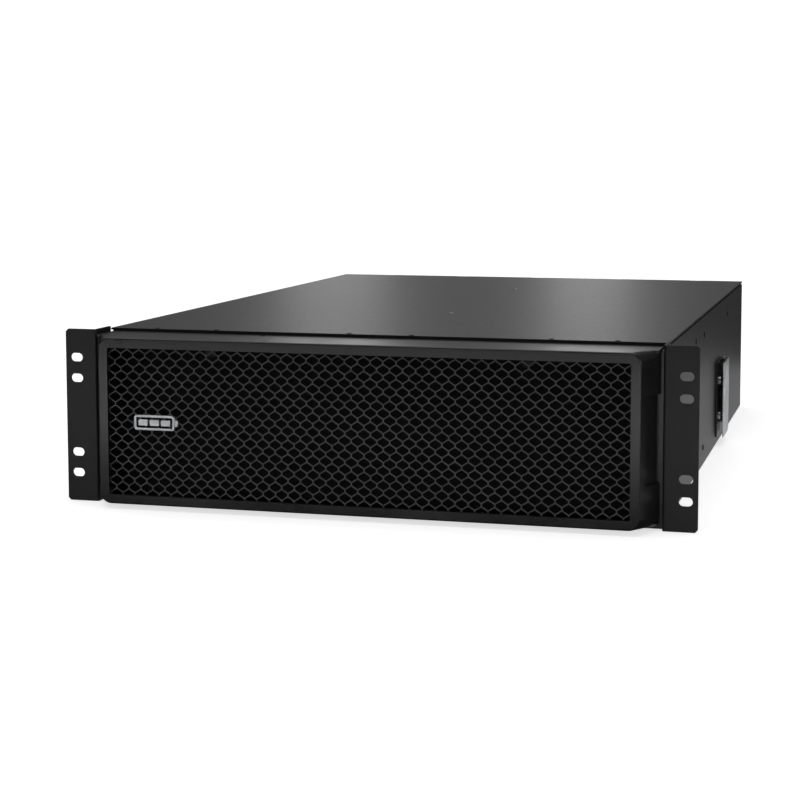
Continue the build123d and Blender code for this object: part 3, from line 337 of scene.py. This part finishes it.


# The door behind the mesh is coloured near black as painted shade for the dark space behind the
# mesh.
# The rack ears have the case's coat, duller, and a darker colour as painted shade on their front
# faces.
# The screws behind the mesh are black, because no bright heads show through it.
EAR_COAT_PAINTED_SHADE = powder_coat("ear_coat_painted_shade", (0.0065, 0.0065, 0.0068), 0.48, specular=0.4)
BLACK_OXIDE = plated("screw_black_oxide", (0.020, 0.020, 0.021), 0.40, 900)
OWN_MATERIAL = {
    # Painted shade: the door's near-black colour stands in for the shade behind the mesh.
    "battery_door": powder_coat("door_coat_painted_shade", (0.002, 0.002, 0.002), 0.62, specular=0.08),
    "rack_ear_left": EAR_COAT_PAINTED_SHADE,
    "rack_ear_right": EAR_COAT_PAINTED_SHADE,
    "thumbscrew_left": BLACK_OXIDE,
    "thumbscrew_right": BLACK_OXIDE,
    "thumbscrew_ferrules": BLACK_OXIDE,
}

for node, piece in NODES.items():
    material = OWN_MATERIAL.get(node) or MATERIALS[SLOT_OF[node]]
    if not piece.material_slots:
        piece.data.materials.append(material)
    for slot in piece.material_slots:
        slot.material = material
    if node in SOFT_EDGE:
        soften(piece, SOFT_EDGE[node])


# ---------------------------------------------------------------- new pieces

def finish_piece(name, mesh, body, slot, node):
    """Turns a bmesh into a named piece that rides, has a finish and replaces a CAD node."""
    data = bpy.data.meshes.new(name)
    bmesh.ops.recalc_face_normals(mesh, faces=mesh.faces)
    mesh.to_mesh(data)
    mesh.free()
    for face in data.polygons:
        face.use_smooth = True
    piece = bpy.data.objects.new(name, data)
    bpy.context.scene.collection.objects.link(piece)
    data.materials.append(MATERIALS[slot])
    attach(piece, body)
    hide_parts(node)
    return piece


# The perforated panel behind the bezel window: flattened hexagons, every other row shifted
# by half a pitch. The outer rows and columns run on under the bezel's lip, where they are cut.
MESH_LOW, MESH_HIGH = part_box("hex_mesh")
CELL_PITCH = 9.7 * MM
ROW_PITCH = 5.26 * MM
COLUMNS = 40
ROWS = 22
HOLE_HALF_WIDTH = 4.38 * MM
HOLE_SIDE = 0.86 * MM
HOLE_TIP = 3.62 * MM
PANEL_SHEET = 0.8 * MM
ROLL = 0.15 * MM
ROLL_STEPS = 2
HOLE_REACH = 0.9 * MM
CELL_REACH = 1.5 * MM
JOIN_REACH = 0.004 * MM
SAME_PLACE = 0.01 * MM


def flattened(x, z, half_width, side, tip, flat, cut, reach):
    """Corners of a flattened hexagon with upright sides, anticlockwise from the upper right.

    flat is 1 or -1 where its top or bottom corner is left off, and cut is 1 or -1 where
    its right or left half ends at reach from the middle."""
    slope = (tip - side) / half_width
    right = reach if cut > 0 else half_width
    left = reach if cut < 0 else half_width

    def height(distance, end):
        return side if flat == end else tip - slope * distance

    corners = [(x + right, z + height(right, 1))]
    if flat != 1:
        corners.append((x, z + tip))
    corners += [(x - left, z + height(left, 1)), (x - left, z - height(left, -1))]
    if flat != -1:
        corners.append((x, z - tip))
    corners.append((x + right, z - height(right, -1)))
    return corners


def hexagon_panel():
    mesh = bmesh.new()
    front = MESH_LOW[1]
    back = front + PANEL_SHEET
    middle = (MESH_LOW[2] + MESH_HIGH[2]) / 2
    left, right, low, high = MESH_LOW[0], MESH_HIGH[0], MESH_LOW[2], MESH_HIGH[2]
    slope = (HOLE_TIP - HOLE_SIDE) / HOLE_HALF_WIDTH
    half_cell = CELL_PITCH / 2
    cell_tip = (ROW_PITCH + slope * half_cell) / 2
    cell_side = ROW_PITCH - cell_tip
    lattice_end = (COLUMNS + 0.5) * CELL_PITCH / 2

    def ring(corners, y):
        return [mesh.verts.new((x, y, z)) for x, z in corners]

    def bridge(outer, inner):
        for i in range(len(outer)):
            j = (i + 1) % len(outer)
            mesh.faces.new((outer[i], outer[j], inner[j], inner[i]))

    def sheet(corners):
        for y in (front, back):
            mesh.faces.new(ring(corners, y))

    def hole(x, z, amount, flat, cut):
        """The hole's outline, moved outwards by amount all round."""
        tip = HOLE_TIP + amount * math.hypot(1, slope)
        half_width = HOLE_HALF_WIDTH + amount
        side = tip - slope * half_width
        return flattened(x, z, half_width, side, tip, flat, cut, HOLE_REACH + amount)

    edges = {-1: [], 1: []}
    for row in range(ROWS):
        z = middle + ((ROWS - 1) / 2 - row) * ROW_PITCH
        flat = 1 if row == 0 else -1 if row == ROWS - 1 else 0
        cut_side = 1 if row % 2 else -1
        first = -lattice_end + half_cell * (1 if row % 2 else 2)
        cells_in_row = [(first + column * CELL_PITCH, 0) for column in range(COLUMNS)]
        cells_in_row.append((cut_side * lattice_end, cut_side))
        for x, cut in cells_in_row:
            cell = flattened(x, z, half_cell, cell_side, cell_tip, flat, cut, CELL_REACH)
            rings = [ring(cell, front)]
            for step in range(ROLL_STEPS + 1):
                turn = math.pi / 2 * step / ROLL_STEPS
                outline = hole(x, z, ROLL * (1 - math.sin(turn)), flat, cut)
                rings.append(ring(outline, front + ROLL * (1 - math.cos(turn))))
            rings += [ring(hole(x, z, 0, flat, cut), back), ring(cell, back)]
            for outer, inner in zip(rings, rings[1:]):
                bridge(outer, inner)
            if flat:
                start = x - (CELL_REACH if cut < 0 else half_cell)
                end = x + (CELL_REACH if cut > 0 else half_cell)
                level, rim = z + flat * cell_side, high if flat > 0 else low
                sheet([(start, level), (end, level), (end, rim), (start, rim)])
        # The lattice's ragged edge on each side, from the top down.
        for side in (-1, 1):
            x = side * lattice_end
            if side != cut_side:
                edges[side] += [(x, z + cell_side), (x, z - cell_side)]
                continue
            reach = x + side * CELL_REACH
            drop = cell_tip - slope * CELL_REACH
            top = [(reach, z + cell_side)] if flat > 0 else [(x, z + cell_tip), (reach, z + drop)]
            foot = [(reach, z - cell_side)] if flat < 0 else [(reach, z - drop), (x, z - cell_tip)]
            edges[side] += top + foot
    for side, rim in ((-1, left), (1, right)):
        chain = edges[side]
        chain = [(chain[0][0], high)] + chain + [(chain[-1][0], low)]
        for (x0, z0), (x1, z1) in zip(chain, chain[1:]):
            if abs(z0 - z1) > SAME_PLACE:
                sheet([(x0, z0), (x1, z1), (rim, z1), (rim, z0)])
    bmesh.ops.remove_doubles(mesh, verts=mesh.verts, dist=JOIN_REACH)
    rims = [
        edge for edge in mesh.edges
        if len(edge.link_faces) == 1 and abs(edge.verts[0].co.y - edge.verts[1].co.y) < SAME_PLACE
    ]
    bmesh.ops.bridge_loops(mesh, edges=rims)
    return mesh


panel = finish_piece("hexagon_panel", hexagon_panel(), "bezel", "mesh_black", "hex_mesh")
panel_normals = panel.modifiers.new("normals", "WEIGHTED_NORMAL")
panel_normals.keep_sharp = False


# The badge: a generic battery pictogram, an open outline with a contact nub and three bars.
BADGE_LOW, BADGE_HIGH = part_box("badge")
BADGE_STROKE = 1.9 * MM
BADGE_NUB = 2.6 * MM
BADGE_NUB_HALF = 2.4 * MM
BADGE_NUB_ROOT = 0.05 * MM
BADGE_BARS = 3
BADGE_GAP = 1.5 * MM
BADGE_CORNER = 2.4 * MM
BADGE_HOLE_CORNER = 0.8 * MM
BADGE_NUB_CORNER = 0.9 * MM
BADGE_BAR_CORNER = 0.5 * MM
BADGE_EDGE = 0.25
CORNER_STEPS = 5


def rounded_outline(x0, x1, z0, z1, radius):
    points = []
    for cx, cz, start in (
        (x1 - radius, z1 - radius, 0), (x0 + radius, z1 - radius, 90),
        (x0 + radius, z0 + radius, 180), (x1 - radius, z0 + radius, 270),
    ):
        for step in range(CORNER_STEPS + 1):
            angle = math.radians(start + 90 * step / CORNER_STEPS)
            points.append((cx + radius * math.cos(angle), cz + radius * math.sin(angle)))
    return points


def add_plate(mesh, outline, hole, front, back):
    """A flat plate between two depths, with a hole of the same number of corners or none."""
    rings = {}
    for key, points in (("outline", outline), ("hole", hole or [])):
        for depth in (front, back):
            rings[key, depth] = [mesh.verts.new((x, depth, z)) for x, z in points]
    count = len(outline)
    for i in range(count):
        j = (i + 1) % count
        outer_front, outer_back = rings["outline", front], rings["outline", back]
        mesh.faces.new((outer_front[i], outer_front[j], outer_back[j], outer_back[i]))
        if hole:
            inner_front, inner_back = rings["hole", front], rings["hole", back]
            mesh.faces.new((inner_front[j], inner_front[i], inner_back[i], inner_back[j]))
            mesh.faces.new((outer_front[j], outer_front[i], inner_front[i], inner_front[j]))
            mesh.faces.new((outer_back[i], outer_back[j], inner_back[j], inner_back[i]))
    if not hole:
        mesh.faces.new(rings["outline", front])
        mesh.faces.new(list(reversed(rings["outline", back])))


def battery_pictogram():
    mesh = bmesh.new()
    front, back = BADGE_LOW[1], BADGE_HIGH[1]
    x0, x1, z0, z1 = BADGE_LOW[0], BADGE_HIGH[0], BADGE_LOW[2], BADGE_HIGH[2]
    body_end = x1 - BADGE_NUB
    outline = rounded_outline(x0, body_end, z0, z1, BADGE_CORNER)
    hole = rounded_outline(
        x0 + BADGE_STROKE, body_end - BADGE_STROKE, z0 + BADGE_STROKE, z1 - BADGE_STROKE,
        BADGE_HOLE_CORNER,
    )
    add_plate(mesh, outline, hole, front, back)
    middle = (z0 + z1) / 2
    nub = rounded_outline(
        body_end - BADGE_NUB_ROOT, x1, middle - BADGE_NUB_HALF, middle + BADGE_NUB_HALF,
        BADGE_NUB_CORNER,
    )
    add_plate(mesh, nub, None, front, back)
    inset = BADGE_STROKE + BADGE_GAP
    inside = body_end - x0 - 2 * BADGE_STROKE
    bar = (inside - (BADGE_BARS + 1) * BADGE_GAP) / BADGE_BARS
    for index in range(BADGE_BARS):
        low = x0 + inset + index * (bar + BADGE_GAP)
        plate = rounded_outline(low, low + bar, z0 + inset, z1 - inset, BADGE_BAR_CORNER)
        add_plate(mesh, plate, None, front, back)
    return mesh


badge = finish_piece("battery_badge", battery_pictogram(), "bezel", "badge_metal", "badge")
soften(badge, BADGE_EDGE)


# ---------------------------------------------------------------- stage, light and camera
# Places and sizes are in metres, powers in watts.

FLOOR_SIZE = 30.0
FLOOR_COLOUR = (0.80, 0.80, 0.80)
FLOOR_GLOW = 0.66


def plain_floor():
    mesh = bmesh.new()
    bmesh.ops.create_grid(mesh, x_segments=2, y_segments=2, size=FLOOR_SIZE)
    data = bpy.data.meshes.new("floor")
    mesh.to_mesh(data)
    mesh.free()
    floor = bpy.data.objects.new("floor", data)
    bpy.context.scene.collection.objects.link(floor)
    material, _, principled, _ = shader("floor_paper", FLOOR_COLOUR, 0.9, specular=0.1)
    principled.inputs["Emission Color"].default_value = (1, 1, 1, 1)
    principled.inputs["Emission Strength"].default_value = FLOOR_GLOW
    data.materials.append(material)
    floor.visible_glossy = False
    floor.visible_diffuse = False


plain_floor()


def reflected_card(name, corners, strength):
    """A glowing card that shows only in reflections, as the cards round a studio table do."""
    data = bpy.data.meshes.new(name)
    data.from_pydata(corners, [], [tuple(range(len(corners)))])
    card = bpy.data.objects.new(name, data)
    bpy.context.scene.collection.objects.link(card)
    material, _, principled, _ = shader(name, (0, 0, 0), 1.0)
    principled.inputs["Emission Color"].default_value = (1, 1, 1, 1)
    principled.inputs["Emission Strength"].default_value = strength
    data.materials.append(material)
    card.visible_camera = False
    card.visible_diffuse = False
    card.visible_shadow = False


def area_light(name, place, aim, size, power, glossy=True):
    data = bpy.data.lights.new(name, "AREA")
    data.shape = "RECTANGLE"
    data.size, data.size_y = size
    data.energy = power
    light = bpy.data.objects.new(name, data)
    bpy.context.scene.collection.objects.link(light)
    light.location = place
    light.rotation_euler = (Vector(aim) - Vector(place)).to_track_quat("-Z", "Y").to_euler()
    light.visible_camera = False
    light.visible_glossy = glossy


OVERHEAD_STRENGTH = 1.5
OVERHEAD_SPREAD = 70
OVERHEAD_TILT = (-8, -6)

overhead = bpy.data.lights.new("overhead", "SUN")
overhead.energy = OVERHEAD_STRENGTH
overhead.angle = math.radians(OVERHEAD_SPREAD)
sky = bpy.data.objects.new("overhead", overhead)
bpy.context.scene.collection.objects.link(sky)
sky.rotation_euler = (math.radians(OVERHEAD_TILT[0]), math.radians(OVERHEAD_TILT[1]), 0)
area_light("front_softbox", (-0.7, -2.6, 0.8), (0.0, 0.0, 0.05), (1.6, 1.0), 9, glossy=False)
area_light("right_softbox", (1.9, -0.9, 0.5), (0.2, -0.3, 0.05), (0.8, 0.8), 7)
area_light(
    "front_low_strip", (0.0, -0.47, 0.012), (0.0, -0.335, 0.03), (0.8, 0.02), 0.2, glossy=False
)

CARD_HALF, CARD_Y, CARD_LOW, CARD_HIGH = 0.9, -0.70, 0.012, 0.046
reflected_card("front_card", [
    (-CARD_HALF, CARD_Y, CARD_LOW), (CARD_HALF, CARD_Y, CARD_LOW),
    (CARD_HALF, CARD_Y, CARD_HIGH), (-CARD_HALF, CARD_Y, CARD_HIGH),
], 6.0)
SHEET_HALF, SHEET_FRONT, SHEET_BACK, SHEET_Z = 0.6, -0.31, 0.7, -0.001
reflected_card("floor_card", [
    (-SHEET_HALF, SHEET_FRONT, SHEET_Z), (SHEET_HALF, SHEET_FRONT, SHEET_Z),
    (SHEET_HALF, SHEET_BACK, SHEET_Z), (-SHEET_HALF, SHEET_BACK, SHEET_Z),
], 0.5)

STRIP_FAR, STRIP_LOW, STRIP_HIGH = 6.0, -0.6, 3.0


def back_strip(name, azimuth, width, strength):
    """A tall glowing strip far behind, at an azimuth in degrees from +Y towards +X."""
    turn = math.radians(azimuth)
    across = (math.cos(turn) * width / 2, -math.sin(turn) * width / 2)
    x, y = STRIP_FAR * math.sin(turn), STRIP_FAR * math.cos(turn)
    reflected_card(name, [
        (x - across[0], y - across[1], STRIP_LOW), (x + across[0], y + across[1], STRIP_LOW),
        (x + across[0], y + across[1], STRIP_HIGH), (x - across[0], y - across[1], STRIP_HIGH),
    ], strength)


back_strip("back_strip_left", -18.9, 0.42, 1.25)
back_strip("back_strip_right", -8.6, 0.34, 1.45)

# The studio round the object: pale behind and above, dark in front of it and below.
SEEN_WHITE = 1.05
STUDIO_FRONT, STUDIO_BACK = 0.05, 0.20
STUDIO_BELOW = 0.25

world = bpy.data.worlds.new("studio")
bpy.context.scene.world = world
world.use_nodes = True
tree = world.node_tree
tree.nodes.clear()
output = tree.nodes.new("ShaderNodeOutputWorld")
seen = tree.nodes.new("ShaderNodeLightPath")
mix = tree.nodes.new("ShaderNodeMixShader")
white = tree.nodes.new("ShaderNodeBackground")
white.inputs["Color"].default_value = (1, 1, 1, 1)
white.inputs["Strength"].default_value = SEEN_WHITE
studio = tree.nodes.new("ShaderNodeBackground")
direction = tree.nodes.new("ShaderNodeTexCoord")
split = tree.nodes.new("ShaderNodeSeparateXYZ")
tree.links.new(direction.outputs["Generated"], split.inputs["Vector"])
rearward = between(tree, split.outputs["Y"], STUDIO_FRONT, STUDIO_BACK, -0.6, 0.8)
upward = between(tree, split.outputs["Z"], STUDIO_BELOW, 1.0, -0.12, 0.10)
product = tree.nodes.new("ShaderNodeMath")
product.operation = "MULTIPLY"
tree.links.new(rearward, product.inputs[0])
tree.links.new(upward, product.inputs[1])
tree.links.new(product.outputs["Value"], studio.inputs["Strength"])
tree.links.new(seen.outputs["Is Camera Ray"], mix.inputs["Fac"])
tree.links.new(studio.outputs["Background"], mix.inputs[1])
tree.links.new(white.outputs["Background"], mix.inputs[2])
tree.links.new(mix.outputs["Shader"], output.inputs["Surface"])

bpy.context.scene.view_settings.view_transform = "Standard"

# The camera is fitted to the rack ears and the case's edges.
CAMERA_PLACE = (0.37385, -1.55761, 0.27028)
CAMERA_TILT, CAMERA_TURN = 84.7, 14.576
CAMERA_SHIFT = (-0.0428, -0.1081)

camera_data = bpy.data.cameras.new("camera")
camera_data.sensor_width = 36.0
camera_data.lens = 80.54
camera_data.shift_x, camera_data.shift_y = CAMERA_SHIFT
camera_data.clip_start = 0.01
camera = bpy.data.objects.new("camera", camera_data)
bpy.context.scene.collection.objects.link(camera)
camera.location = CAMERA_PLACE
camera.rotation_euler = (math.radians(CAMERA_TILT), 0.0, math.radians(CAMERA_TURN))
bpy.context.scene.camera = camera
